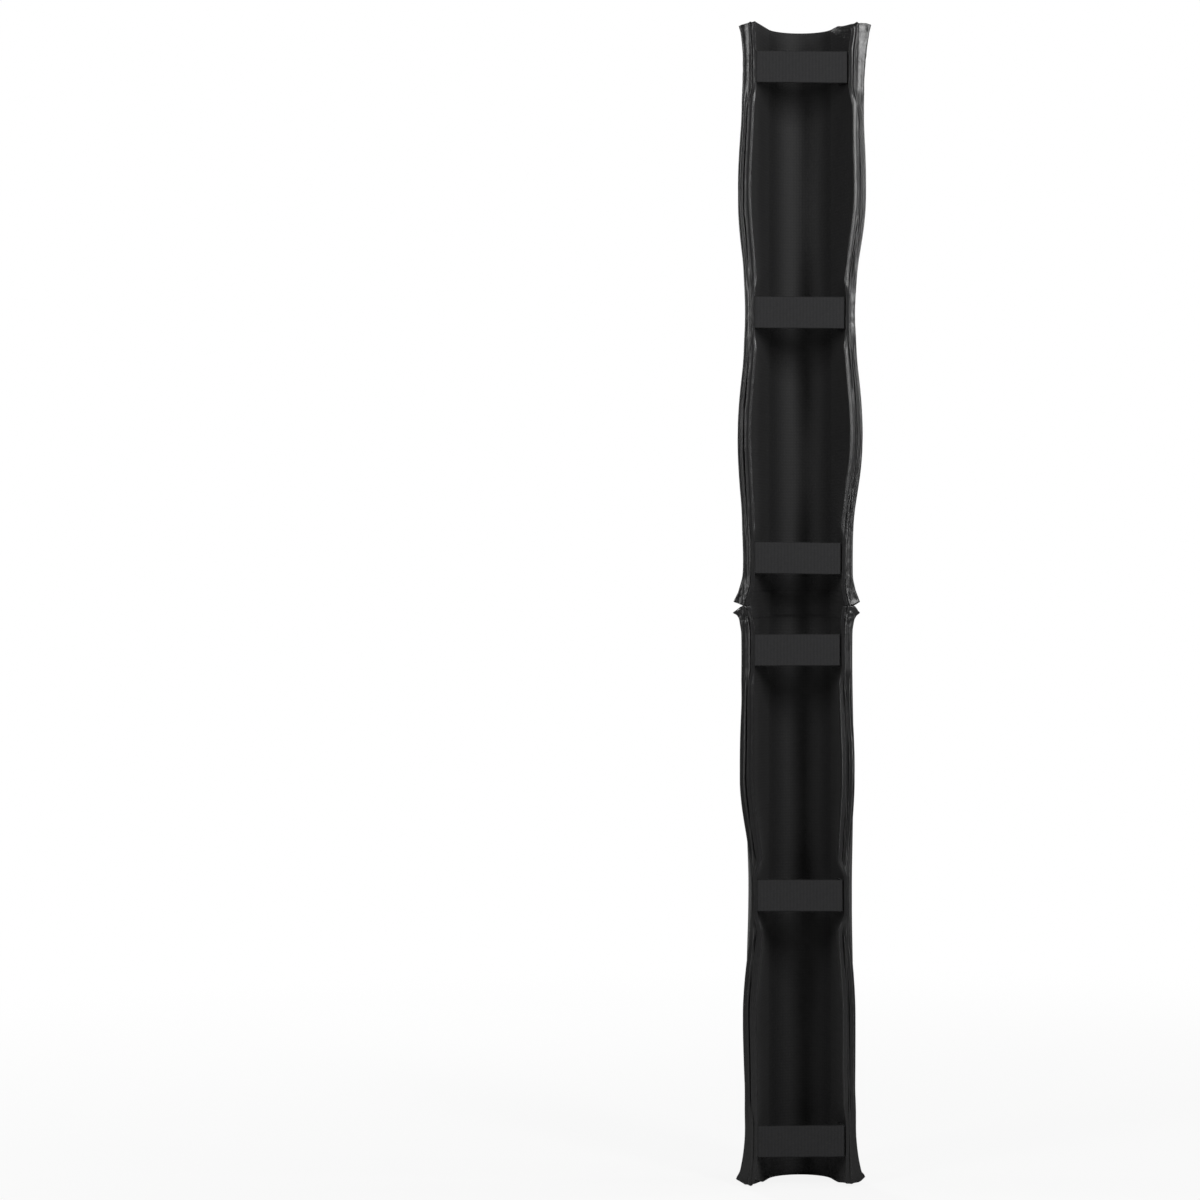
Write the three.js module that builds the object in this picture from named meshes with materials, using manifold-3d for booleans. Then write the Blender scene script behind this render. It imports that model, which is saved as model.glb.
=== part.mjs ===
// Wrap-around pad for a round post: two equal lengths joined at a seam, closed behind by webbing straps.
// Millimetres, +Z up. The post's axis is the Z axis and the lower end of the pad is on z = 0.
// The rounded front faces -Y. The open side faces +Y. Straps are sewn on the +X edge and grip the -X one.

import Module from 'manifold-3d';
import * as THREE from 'three';
import { mergeVertices } from 'three/addons/utils/BufferGeometryUtils.js';

const wasm = await Module();
wasm.setup();

// The pad's two lengths
const HALF_LENGTH = 914.4;
const SEAM_GAP = 0.6;

// Section: a rounded front and two flanks that spread towards the open side
const CHANNEL_RADIUS = 52;
const FLANK_REACH = 60;
const FLANK_SPLAY = THREE.MathUtils.degToRad(15);
const ARC_STEPS = 7;
const flankShares = [1 / 3, 2 / 3];

// Layers of the wall, with the clearance between neighbours
const CLEARANCE = 0.3;
const LINING = 1;
const FOAM = 25;
const COVER = 1;
const WALL = LINING + CLEARANCE + FOAM + CLEARANCE + COVER;

// Rear edges: bevelled outer corner, and the widening at both ends of each length
const EDGE_BEVEL = 3.5;
const END_FLARE = 8;
const FLARE_REACH = 46;

// Free ends are rounded over. At the seam the ends fall back into a groove, deepest at the rear edges
const END_ROUND = 3;
const GROOVE_HEIGHT = 5;
const GROOVE_DEPTH = 6;
const NOTCH_HEIGHT = 8.5;
const NOTCH_DEPTH = 10;

// Strip sewn over each rear edge where cover and lining meet
const BINDING_WIDTH = 8;
const BINDING_THICKNESS = 1.2;

// Strip of lining that joins the two lengths
const WEB_HEIGHT = 40;
const WEB_THICKNESS = 0.8;

// Straps, and how far each one squeezes the rear edges, from the lowest to the highest
const STRAP_WIDTH = 50;
const STRAP_INSET = 72;
const WEBBING = 1.6;
const ANCHOR_WIDTH = 9;
const TURN_RADIUS = 2.5;
const TURN_STEPS = 6;
const squeezeShares = [0.32, 0.62, 0.4, 0.42, 0.38, 0.1];
const SQUEEZE_REACH = 140;
const RECOVERY_STEPS = 5;

// Hook-and-loop fastening inside the -X edge
const PATCH = 1;
const PATCH_INSET = 3;
const PATCH_LENGTH = 26;
const LEG_LENGTH = 30;

// Values worked out from those above
const OVERRUN = WALL;
const RIGHT_ANGLE = Math.PI / 2;
const padLength = 2 * HALF_LENGTH;
const shellLength = HALF_LENGTH - SEAM_GAP / 2;
const straightStart = radial(-FLANK_SPLAY, CHANNEL_RADIUS);
const flankLength = (FLANK_REACH - straightStart.y) / Math.cos(FLANK_SPLAY);
const outward = new THREE.Vector2(Math.cos(FLANK_SPLAY), -Math.sin(FLANK_SPLAY));
const rearward = new THREE.Vector2(Math.sin(FLANK_SPLAY), Math.cos(FLANK_SPLAY));
const innerCorner = straightStart.clone().addScaledVector(rearward, flankLength);
const gripDepth = CLEARANCE + PATCH + CLEARANCE + PATCH + CLEARANCE;
const halfInsets = [STRAP_INSET, HALF_LENGTH / 2, HALF_LENGTH - STRAP_INSET];
const strapHeights = [...halfInsets, ...halfInsets.map((inset) => HALF_LENGTH + inset)];

// Finishes
const vinyl = new THREE.MeshStandardMaterial({ color: 0x101113, roughness: 0.42, metalness: 0 });
const foamGrey = new THREE.MeshStandardMaterial({ color: 0x8d9094, roughness: 0.95, metalness: 0 });
const liningCloth = new THREE.MeshStandardMaterial({ color: 0x1a1b1d, roughness: 0.9, metalness: 0 });
const bindingTape = new THREE.MeshStandardMaterial({ color: 0x17181a, roughness: 0.7, metalness: 0 });
const webbing = new THREE.MeshStandardMaterial({ color: 0x2f3032, roughness: 0.88, metalness: 0 });
const gripCloth = new THREE.MeshStandardMaterial({ color: 0x222326, roughness: 1, metalness: 0 });

// Point at an angle from +X and a radius from the post's axis
function radial(angle, radius) {
  return new THREE.Vector2(Math.cos(angle) * radius, Math.sin(angle) * radius);
}

// Point near the rear end of the +X flank: depth outward from the lining's face, along rearward past its end
function edgePoint(depth, along) {
  return innerCorner.clone().addScaledVector(outward, depth).addScaledVector(rearward, along);
}

function mirrored(points) {
  return points.map((point) => new THREE.Vector2(-point.x, point.y)).reverse();
}

// Closed solid from rings with equally many points, each ring counter-clockwise seen from above
function loft(rings) {
  const count = rings[0].length;
  const index = [];
  for (let level = 0; level < rings.length - 1; level += 1) {
    for (let i = 0; i < count; i += 1) {
      const a = level * count + i;
      const b = level * count + ((i + 1) % count);
      index.push(a, b, b + count, a, b + count, a + count);
    }
  }
  const outline = rings[0].map((point) => new THREE.Vector2(point.x, point.y));
  const topOutline = rings.at(-1).map((point) => new THREE.Vector2(point.x, point.y));
  const top = (rings.length - 1) * count;
  for (const [a, b, c] of THREE.ShapeUtils.triangulateShape(outline, [])) {
    index.push(a, c, b);
  }
  for (const [a, b, c] of THREE.ShapeUtils.triangulateShape(topOutline, [])) {
    index.push(top + a, top + b, top + c);
  }
  const positions = rings.flat().flatMap((point) => [point.x, point.y, point.z]);
  const geometry = new THREE.BufferGeometry();
  geometry.setAttribute('position', new THREE.Float32BufferAttribute(positions, 3));
  geometry.setIndex(index);
  return geometry;
}

// The same body on the other side of the YZ plane
function flipped(geometry) {
  const mirror = geometry.clone().applyMatrix4(new THREE.Matrix4().makeScale(-1, 1, 1));
  const index = mirror.getIndex().array;
  for (let i = 0; i < index.length; i += 3) {
    [index[i], index[i + 1]] = [index[i + 1], index[i]];
  }
  return mirror;
}

// Upright solid over a plan outline
function slab(outline, base, height) {
  const shape = new THREE.Shape(outline);
  const geometry = new THREE.ExtrudeGeometry(shape, { depth: height, bevelEnabled: false });
  return geometry.translate(0, 0, base);
}

function solidOf(geometry) {
  const bare = geometry.clone();
  bare.deleteAttribute('normal');
  bare.deleteAttribute('uv');
  const merged = mergeVertices(bare);
  const vertProperties = Float32Array.from(merged.getAttribute('position').array);
  const triVerts = Uint32Array.from(merged.getIndex().array);
  return new wasm.Manifold(new wasm.Mesh({ numProp: 3, vertProperties, triVerts }));
}

function geometryOf(solid) {
  const mesh = solid.getMesh();
  const geometry = new THREE.BufferGeometry();
  geometry.setAttribute('position', new THREE.BufferAttribute(mesh.vertProperties, 3));
  geometry.setIndex(new THREE.BufferAttribute(mesh.triVerts, 1));
  return geometry;
}

// Stations along the lining's face from the middle of the front to the start of the rear bevel.
// Each has its place, its outward direction, and how far along the flank it lies as a share.
function stations(open, rearInset) {
  const list = [];
  for (let step = 0; step <= ARC_STEPS; step += 1) {
    const angle = -RIGHT_ANGLE + (step / ARC_STEPS) * (RIGHT_ANGLE - FLANK_SPLAY);
    list.push({ at: radial(angle, CHANNEL_RADIUS), out: radial(angle, 1), rearShare: 0 });
  }
  list[0].at.x = SEAM_GAP / 2;
  if (open) {
    list.unshift({ ...list[0], at: new THREE.Vector2(-OVERRUN, -CHANNEL_RADIUS) });
  }
  for (const rearShare of flankShares) {
    const at = straightStart.clone().addScaledVector(rearward, rearShare * flankLength);
    list.push({ at, out: outward, rearShare });
  }
  list.push({ at: edgePoint(0, -rearInset - EDGE_BEVEL), out: outward, rearShare: 1 });
  return list;
}

// Share of the squeeze that is left at a height, full under the strap and gone beyond its reach
function squeezeAt(height) {
  let squeeze = 0;
  strapHeights.forEach((strapHeight, i) => {
    const beyond = Math.max(0, Math.abs(height - strapHeight) - STRAP_WIDTH / 2);
    if (beyond < SQUEEZE_REACH) {
      const fade = Math.cos((beyond / SQUEEZE_REACH) * RIGHT_ANGLE) ** 2;
      squeeze = Math.max(squeeze, squeezeShares[i] * fade);
    }
  });
  return squeeze;
}

// Thickness of the wall at the rear edge, height measured up the whole pad
function edgeWall(height) {
  const inLength = height % HALF_LENGTH;
  const toEnd = Math.min(inLength, HALF_LENGTH - inLength);
  const flareShare = Math.max(0, 1 - toEnd / FLARE_REACH);
  return WALL * (1 - squeezeAt(height)) + END_FLARE * flareShare ** 2;
}

// How far the outer edge of an end falls back, down the pad and into the wall
function fallBack(isSeamEnd, rearShare) {
  if (!isSeamEnd) {
    return { height: END_ROUND, depth: END_ROUND };
  }
  return {
    height: THREE.MathUtils.lerp(GROOVE_HEIGHT, NOTCH_HEIGHT, rearShare),
    depth: THREE.MathUtils.lerp(GROOVE_DEPTH, NOTCH_DEPTH, rearShare),
  };
}

// Heights of the rings of one length between its ends: both edges of each strap and steps between straps
function ringHeights(base) {
  const edge = STRAP_WIDTH / 2 + CLEARANCE;
  const heights = [];
  halfInsets.forEach((inset, i) => {
    if (i > 0) {
      const start = halfInsets[i - 1] + edge;
      const stretch = inset - edge - start;
      for (let step = 1; step < RECOVERY_STEPS; step += 1) {
        heights.push(base + start + (stretch * step) / RECOVERY_STEPS);
      }
    }
    heights.push(base + inset - edge, base + inset + edge);
  });
  return heights;
}

// Rings of a body that fills the wall: inner is its depth over the lining's face, inset its distance
// from the wall's outside, and open says that it runs out through the lining and the middle of the front
function wallRings(length, inner, inset, open) {
  const { base, top } = length;
  const line = stations(open, inset);
  const arc = line.filter(({ rearShare }) => rearShare === 0);
  const ring = (height, isSeamEnd, isEnd) => {
    const endSide = height < (base + top) / 2 ? 1 : -1;
    const nominal = edgeWall(height);
    const fall = (rearShare) => fallBack(isSeamEnd, rearShare);
    const outer = line.map(({ at, out, rearShare }) => {
      const wall = THREE.MathUtils.lerp(WALL, nominal, rearShare ** 2);
      const cut = isEnd === 'end' ? fall(rearShare).depth : 0;
      const slide = isEnd === 'near' ? fall(rearShare).height * endSide : 0;
      const point = at.clone().addScaledVector(out, wall - inset - cut);
      return new THREE.Vector3(point.x, point.y, height + slide);
    });
    const cut = isEnd === 'end' ? fall(1).depth : 0;
    const slide = isEnd === 'near' ? fall(1).height * endSide : 0;
    const corner = edgePoint(nominal - inset - cut - EDGE_BEVEL, -inset);
    outer.push(new THREE.Vector3(corner.x, corner.y, height + slide));
    const rear = edgePoint(inner, -inset);
    const back = [new THREE.Vector3(rear.x, rear.y, height)];
    arc.toReversed().forEach(({ at, out }) => {
      const point = at.clone().addScaledVector(out, inner);
      back.push(new THREE.Vector3(point.x, point.y, height));
    });
    return [...outer, ...back];
  };
  const [low, high] = [base + inset, top - inset];
  return [
    ring(low, length.seamBelow, 'end'),
    ring(low, length.seamBelow, 'near'),
    ...ringHeights(length.start).map((height) => ring(height, false, 'middle')),
    ring(high, length.seamAbove, 'near'),
    ring(high, length.seamAbove, 'end'),
  ];
}

function foamCore(length) {
  return loft(wallRings(length, LINING + CLEARANCE, COVER + CLEARANCE, false));
}

// Tray of cover material: outside, rear edge and both ends, open towards the lining
function outerCover(length) {
  const body = solidOf(loft(wallRings(length, LINING + CLEARANCE, 0, false)));
  const hollow = solidOf(loft(wallRings(length, 0, COVER, true)));
  return geometryOf(body.subtract(hollow));
}

// Outline of a layer that follows the lining's face, between two depths, up to a distance from the rear end
function layerOutline(from, to, shortBy) {
  const line = stations(false, 0).filter(({ rearShare }) => rearShare === 0);
  const side = (depth) => line.map(({ at, out }) => at.clone().addScaledVector(out, depth));
  return [...side(to), edgePoint(to, -shortBy), edgePoint(from, -shortBy), ...side(from).reverse()];
}

// Rectangle at the rear end of the +X flank
function edgeOutline(fromDepth, toDepth, fromAlong, toAlong) {
  return [
    edgePoint(fromDepth, fromAlong),
    edgePoint(toDepth, fromAlong),
    edgePoint(toDepth, toAlong),
    edgePoint(fromDepth, toAlong),
  ];
}

// Webbing in plan: straight across the open side, then round a turn and down the lining on the -X side
function strapOutline() {
  const anchorAlong = 2 * CLEARANCE + BINDING_THICKNESS;
  const start = edgePoint(0, anchorAlong).x - CLEARANCE;
  const lineY = edgePoint(0, anchorAlong + WEBBING / 2).y;
  const turnAngle = RIGHT_ANGLE + FLANK_SPLAY;
  const legDepth = -(gripDepth + WEBBING / 2 + TURN_RADIUS);
  const along = (lineY - TURN_RADIUS - edgePoint(legDepth, 0).y) / rearward.y;
  const legAxis = edgePoint(legDepth, along);
  const centre = new THREE.Vector2(-legAxis.x, legAxis.y);
  const heading = new THREE.Vector2(rearward.x, -rearward.y);
  const side = (radius, offset) => {
    const points = [new THREE.Vector2(start, lineY + offset)];
    for (let step = 0; step <= TURN_STEPS; step += 1) {
      const angle = RIGHT_ANGLE + (step / TURN_STEPS) * turnAngle;
      points.push(radial(angle, radius).add(centre));
    }
    points.push(points.at(-1).clone().addScaledVector(heading, LEG_LENGTH + along));
    return points;
  };
  const outerSide = side(TURN_RADIUS + WEBBING / 2, WEBBING / 2);
  const innerSide = side(TURN_RADIUS - WEBBING / 2, -WEBBING / 2);
  return [...outerSide, ...innerSide.reverse()];
}

function piece(name, geometry, material) {
  const mesh = new THREE.Mesh(geometry, material);
  mesh.name = name;
  return mesh;
}

// Right and left copies of a body drawn on the +X side
function pair(name, geometry, material) {
  return [
    piece(`${name}_right`, geometry, material),
    piece(`${name}_left`, flipped(geometry), material),
  ];
}

function pairOfSlabs(name, outline, base, height, material) {
  return [
    piece(`${name}_right`, slab(outline, base, height), material),
    piece(`${name}_left`, slab(mirrored(outline), base, height), material),
  ];
}

// One of the two lengths of the pad
function padLengthGroup(name, length) {
  const group = new THREE.Group();
  const height = length.top - length.base;
  const lining = layerOutline(0, LINING, 0);
  const binding = edgeOutline(0, BINDING_WIDTH, CLEARANCE, CLEARANCE + BINDING_THICKNESS);
  group.add(
    ...pair(`${name}_foam`, foamCore(length), foamGrey),
    ...pair(`${name}_cover`, outerCover(length), vinyl),
    ...pairOfSlabs(`${name}_lining`, lining, length.base, height, liningCloth),
    ...pairOfSlabs(`${name}_binding`, binding, length.base, height, bindingTape),
  );
  return group;
}

function seamWeb() {
  const group = new THREE.Group();
  const outline = layerOutline(-CLEARANCE - WEB_THICKNESS, -CLEARANCE, CLEARANCE);
  const base = HALF_LENGTH - WEB_HEIGHT / 2;
  group.add(...pairOfSlabs('seam_web', outline, base, WEB_HEIGHT, liningCloth));
  return group;
}

function strap(number, height) {
  const group = new THREE.Group();
  const base = height - STRAP_WIDTH / 2;
  const anchorFrom = 2 * CLEARANCE + BINDING_THICKNESS;
  const anchor = edgeOutline(0, ANCHOR_WIDTH, anchorFrom, anchorFrom + WEBBING);
  const patch = (depth) => mirrored(
    edgeOutline(-depth - PATCH, -depth, -PATCH_INSET - PATCH_LENGTH, -PATCH_INSET),
  );
  group.add(
    piece(`strap_${number}`, slab(strapOutline(), base, STRAP_WIDTH), webbing),
    piece(`strap_${number}_sewn_end`, slab(anchor, base, STRAP_WIDTH), webbing),
    piece(`strap_${number}_loop_patch`, slab(patch(CLEARANCE), base, STRAP_WIDTH), gripCloth),
    piece(`strap_${number}_hook_patch`, slab(patch(PATCH + 2 * CLEARANCE), base, STRAP_WIDTH), gripCloth),
  );
  return group;
}

const lowerLength = { start: 0, base: 0, top: shellLength, seamBelow: false, seamAbove: true };
const upperLength = {
  start: HALF_LENGTH,
  base: padLength - shellLength,
  top: padLength,
  seamBelow: true,
  seamAbove: false,
};

const pad = new THREE.Group();
pad.add(padLengthGroup('lower', lowerLength));
pad.add(padLengthGroup('upper', upperLength));
pad.add(seamWeb());
strapHeights.forEach((height, i) => pad.add(strap(i + 1, height)));

export default pad;
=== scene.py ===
# %% [markdown]
# A pad that wraps round a post
#
# The pad is two equal lengths of foam in a black vinyl cover, joined half way up and closed behind by six
# webbing straps. Everything stands in one frame: Z is the post's axis, the rounded front faces -Y, and the
# open side with the straps faces +Y. The frame gives the places, and this script gives the looks.

# %% Load the frame
import math

import bmesh
import bpy
import numpy as np
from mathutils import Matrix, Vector, noise


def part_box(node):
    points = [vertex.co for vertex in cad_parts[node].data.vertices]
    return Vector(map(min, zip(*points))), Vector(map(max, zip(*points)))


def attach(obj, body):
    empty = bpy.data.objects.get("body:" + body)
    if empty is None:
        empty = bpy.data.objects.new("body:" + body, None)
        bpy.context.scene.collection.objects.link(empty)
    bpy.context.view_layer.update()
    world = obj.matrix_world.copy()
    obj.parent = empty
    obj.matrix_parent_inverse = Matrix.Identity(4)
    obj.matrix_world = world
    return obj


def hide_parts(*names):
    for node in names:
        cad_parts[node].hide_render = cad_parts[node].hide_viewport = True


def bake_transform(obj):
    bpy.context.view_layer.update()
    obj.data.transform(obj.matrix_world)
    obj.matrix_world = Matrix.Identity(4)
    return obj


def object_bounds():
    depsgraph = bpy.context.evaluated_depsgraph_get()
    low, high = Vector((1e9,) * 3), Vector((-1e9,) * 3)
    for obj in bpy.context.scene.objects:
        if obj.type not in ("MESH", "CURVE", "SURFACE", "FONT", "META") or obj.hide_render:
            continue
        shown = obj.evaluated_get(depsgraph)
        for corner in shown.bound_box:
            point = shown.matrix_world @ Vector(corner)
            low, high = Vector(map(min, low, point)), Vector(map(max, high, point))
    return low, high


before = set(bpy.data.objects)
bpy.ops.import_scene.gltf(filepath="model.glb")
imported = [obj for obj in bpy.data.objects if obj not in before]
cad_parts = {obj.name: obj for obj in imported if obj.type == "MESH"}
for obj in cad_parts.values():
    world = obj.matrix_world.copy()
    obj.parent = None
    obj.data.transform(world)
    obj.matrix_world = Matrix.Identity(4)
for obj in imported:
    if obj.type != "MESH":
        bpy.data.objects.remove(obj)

cad_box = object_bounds()
print("CAD box", [tuple(round(c, 4) for c in corner) for corner in cad_box])

# %% [markdown]
# The camera looks at the open side from mid height, as a catalogue picture of the back does, with a long
# lens so that the two lengths look alike. The pad stands right of the middle of the picture. The frame is
# shifted rather than turned, so the pad's edges stay upright.

# %% Camera
MM = 0.001
PAD_HEIGHT = cad_box[1][2]
CAMERA_LENS = 100
CAMERA_DISTANCE = 5290 * MM
PICTURE_SIZE = 1200
PAD_CENTRE_PX = (800, 604)

camera = bpy.data.objects.new("camera", bpy.data.cameras.new("camera"))
bpy.context.scene.collection.objects.link(camera)
camera.location = (0, CAMERA_DISTANCE, PAD_HEIGHT / 2)
camera.rotation_euler = (math.radians(90), 0, math.radians(180))
camera.data.lens = CAMERA_LENS
camera.data.shift_x = -(PAD_CENTRE_PX[0] / PICTURE_SIZE - 0.5)
camera.data.shift_y = PAD_CENTRE_PX[1] / PICTURE_SIZE - 0.5
bpy.context.scene.camera = camera
bpy.context.scene.view_settings.view_transform = "Standard"

# %% [markdown]
# A material is a small tree of nodes. One function adds a node: it sets what is a plain value and links
# what is another node's output. Colours are written as they look on a screen, so a second function turns
# them into the linear light that the shader works in.

# %% Helpers for materials


def colour(hex_value):
    """A screen colour such as 0x101113 as linear red, green, blue and alpha."""
    screen = [(hex_value >> shift & 255) / 255 for shift in (16, 8, 0)]
    return [c / 12.92 if c <= 0.04045 else ((c + 0.055) / 1.055) ** 2.4 for c in screen] + [1]


def node(tree, kind, inputs=(), **settings):
    """Adds a node. Inputs are numbers, colours or the outputs of other nodes."""
    made = tree.nodes.new(kind)
    for name, value in settings.items():
        setattr(made, name, value)
    for name, value in dict(inputs).items():
        if isinstance(value, bpy.types.NodeSocket):
            tree.links.new(value, made.inputs[name])
        else:
            made.inputs[name].default_value = value
    return made


def new_material(name):
    """An empty node material and its tree."""
    material = bpy.data.materials.new(name)
    material.use_nodes = True
    material.node_tree.nodes.clear()
    return material, material.node_tree


def finish_material(tree, shader):
    node(tree, "ShaderNodeOutputMaterial", {"Surface": shader.outputs[0]})


def calculated(tree, operation, *values):
    """The result of a sum on numbers and on the outputs of other nodes."""
    return node(tree, "ShaderNodeMath", dict(enumerate(values)), operation=operation).outputs[0]


def ranged(tree, value, low, high, from_value, to_value, **settings):
    """A value that goes from one number at low to another at high."""
    return node(tree, "ShaderNodeMapRange", {
        "Value": value, "From Min": low, "From Max": high, "To Min": from_value, "To Max": to_value},
        **settings).outputs[0]


def shade_between(tree, value, dark, light, low=0, high=1):
    """A colour that goes from dark at low to light at high."""
    shade = node(tree, "ShaderNodeValToRGB", {"Fac": value})
    for element, place, hex_value in zip(shade.color_ramp.elements, (low, high), (dark, light)):
        element.position = place
        element.color = colour(hex_value)
    return shade.outputs[0]


def bump_of(tree, height, strength, depth_mm, under=None):
    """A bump, laid over another one if that is given."""
    inputs = {"Height": height, "Strength": strength, "Distance": depth_mm * MM}
    if under is not None:
        inputs["Normal"] = under
    return node(tree, "ShaderNodeBump", inputs).outputs[0]


# %% [markdown]
# The floor is pale and dull, and turns to plain white a few metres from the pad, so it meets the white
# background with no line. That white is for the camera alone: it doesn't light the pad.

# %% Floor and background
FLOOR_SIZE = 60
FLOOR_BELOW = 0.5 * MM
FLOOR_PAINT = 0xC0C0BF
FLOOR_GLOW = 0.88
WHITE_FROM = 0.4
WHITE_BY = 3.2
WHITE = (1, 1, 1, 1)
WORLD_LIGHT = 0.07

floor_finish, tree = new_material("studio_floor")
ray = node(tree, "ShaderNodeLightPath")
paint = node(tree, "ShaderNodeBsdfDiffuse", {"Color": colour(FLOOR_PAINT)})
place = node(tree, "ShaderNodeTexCoord")
distance = node(tree, "ShaderNodeVectorMath", {0: place.outputs["Object"]}, operation="LENGTH")
whiteness = ranged(tree, distance.outputs["Value"], WHITE_FROM, WHITE_BY, FLOOR_GLOW, 1,
                   interpolation_type="SMOOTHSTEP")
glow = node(tree, "ShaderNodeEmission", {"Color": WHITE, "Strength": 1})
seen = calculated(tree, "MULTIPLY", ray.outputs["Is Camera Ray"], whiteness)
mix = node(tree, "ShaderNodeMixShader", {0: seen, 1: paint.outputs[0], 2: glow.outputs[0]})
finish_material(tree, mix)


def new_object(name, mesh, material=None):
    made = bpy.data.objects.new(name, mesh)
    bpy.context.scene.collection.objects.link(made)
    if material:
        made.data.materials.append(material)
    return made


def mesh_of(bm, name):
    mesh = bpy.data.meshes.new(name)
    bm.to_mesh(mesh)
    bm.free()
    return mesh


bm = bmesh.new()
bmesh.ops.create_grid(bm, x_segments=1, y_segments=1, size=FLOOR_SIZE / 2)
floor = new_object("floor", mesh_of(bm, "floor"), floor_finish)
floor.location.z = -FLOOR_BELOW

world = bpy.data.worlds.new("studio")
bpy.context.scene.world = world
world.use_nodes = True
tree = world.node_tree
tree.nodes.clear()
ray = node(tree, "ShaderNodeLightPath")
dim = node(tree, "ShaderNodeBackground", {"Color": WHITE, "Strength": WORLD_LIGHT})
bright = node(tree, "ShaderNodeBackground", {"Color": WHITE, "Strength": 1})
mix = node(tree, "ShaderNodeMixShader", {
    0: ray.outputs["Is Camera Ray"], 1: dim.outputs[0], 2: bright.outputs[0]})
node(tree, "ShaderNodeOutputWorld", {"Surface": mix.outputs[0]})

# %% [markdown]
# Black vinyl shows its shape by what it reflects, so the lamps are tall, narrow soft boxes that draw long
# highlights down the pad. Those behind it are high, so the upper length is the brighter one.

# %% Lamps
# name: compass angle round the post in degrees from +Y, distance, height, width, tall, watts
SOFT_BOXES = {
    "rear_left": (-40, 2.6, 2.1, 0.4, 1.1, 24),
    "rear_left_low": (-36, 2.6, 1.45, 0.4, 0.9, 5.5),
    "rear_right": (32, 2.4, 2.15, 0.4, 1.1, 38),
    "rear_right_low": (34, 2.4, 1.45, 0.4, 0.9, 5.5),
    "rear_skim": (78, 2.2, 1.9, 0.25, 1.2, 9),
    "front_key": (-157, 2.5, 1.7, 0.35, 1.6, 46),
    "front_fill": (103, 2.6, 1.3, 0.35, 1.8, 24),
    "front_edge": (-98, 2.4, 1.3, 0.3, 1.9, 12),
}
AIM_SHARE = 0.55
TOP_LAMP_PLACE = (0, 0.3, 3.4)
TOP_LAMP_SIZE = 1.2
TOP_LAMP_WATTS = 7


def soft_box(name, place, target, width, tall, watts):
    """A rectangular lamp, in metres, turned to a target."""
    lamp = bpy.data.lights.new(name, "AREA")
    lamp.shape = "RECTANGLE"
    lamp.size = width
    lamp.size_y = tall
    lamp.energy = watts
    made = bpy.data.objects.new(name, lamp)
    bpy.context.scene.collection.objects.link(made)
    made.location = place
    made.rotation_euler = (target - place).to_track_quat("-Z", "Y").to_euler()


for name, (compass, distance, height, width, tall, watts) in SOFT_BOXES.items():
    angle = math.radians(compass + 90)
    place = Vector((math.cos(angle) * distance, math.sin(angle) * distance, height))
    soft_box(name, place, Vector((0, 0, PAD_HEIGHT * AIM_SHARE)), width, tall, watts)
soft_box("top", Vector(TOP_LAMP_PLACE), Vector((0, 0, 0)), TOP_LAMP_SIZE, TOP_LAMP_SIZE, TOP_LAMP_WATTS)

# %% [markdown]
# The pad's section is a U. Going round from the middle of the front, the lining's face follows an arc about
# the post and then a straight flank that leans outward. Three numbers say where a point of the pad is:
# round (from -1 at one rear edge to 1 at the other), wall (0 on the lining's side, 1 outside) and height.

# %% The section of the wall
CHANNEL_RADIUS = 52
FLANK_REACH = 60
SPLAY = math.radians(15)
LINING = 1
CLEARANCE = 0.3
WALL = 27.6
FRONT_ANGLE = math.pi / 2 - SPLAY

outward = Vector((math.cos(SPLAY), -math.sin(SPLAY)))
rearward = Vector((math.sin(SPLAY), math.cos(SPLAY)))
flank_start = outward * CHANNEL_RADIUS
flank_length = (FLANK_REACH - flank_start.y) / rearward.y
arc_length = CHANNEL_RADIUS * FRONT_ANGLE
half_round = arc_length + flank_length
inner_corner = flank_start + rearward * flank_length
print(f"half way round the lining is {half_round:.0f} mm, with its rear edge at x {inner_corner.x:.1f} mm")


def flank_share(round_share):
    """How far along the flank a point is, from 0 at the rounded front to 1 at the rear edge."""
    return np.clip((np.abs(round_share) * half_round - arc_length) / flank_length, 0, 1)


# %% [markdown]
# On the real pad the straps draw the rear edges in, and midway between two straps the edges stand out. The
# edges also flare at the foot, at the top and at the joint of the two lengths. The reach of an edge is its
# distance from the middle plane, measured for each side at the foot, the straps, midway between them, the
# joint and the top. Half a cosine wave joins each value to the next.

# %% The swing of the rear edges
HALF_LENGTH = PAD_HEIGHT / MM / 2
strap_boxes = [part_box(f"strap_{number}") for number in range(1, 7)]
strap_heights = [(low[2] + high[2]) / 2 / MM for low, high in strap_boxes]
STRAP_WIDTH = (strap_boxes[0][1][2] - strap_boxes[0][0][2]) / MM
EDGE_REACH = {
    1: (87, 87, 92.5, 76.5, 97.5, 93, 94, 90.5, 101, 87, 101, 91, 92.5),
    -1: (89, 89, 90, 77.5, 88.5, 80, 83.5, 81.5, 101.5, 87, 107.5, 102, 102),
}
FOOT_FLARE = (15, 95)
UPPER_EAR_FLARE = (12, 46)
LOWER_EAR_FLARE = (8, 46)
LOWER_TIP_FLARE = (6, 7)
EAR_POWER = 1.3
TOP_FLARE = {1: (5.5, 60), -1: (12, 125)}
INNER_EAR_SHARE = 0.75
INNER_FOOT_SHARE = 0.4
EDGE_WIDTH = 24
STRAP_PINCH = 4
PINCH_REACH = 150
STRAP_HOLD = 26
STRAP_RELEASE = 62
INNER_AT_STRAP = {1: (67, 67, 72, 71.5, 71.5, 69), -1: (72.5, 69.5, 65.5, 66.5, 72.5, 77)}


def ease(value, low, high):
    """0 below low, 1 above high, and smooth between them."""
    share = np.clip((value - low) / (high - low), 0, 1)
    return share * share * (3 - 2 * share)


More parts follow.
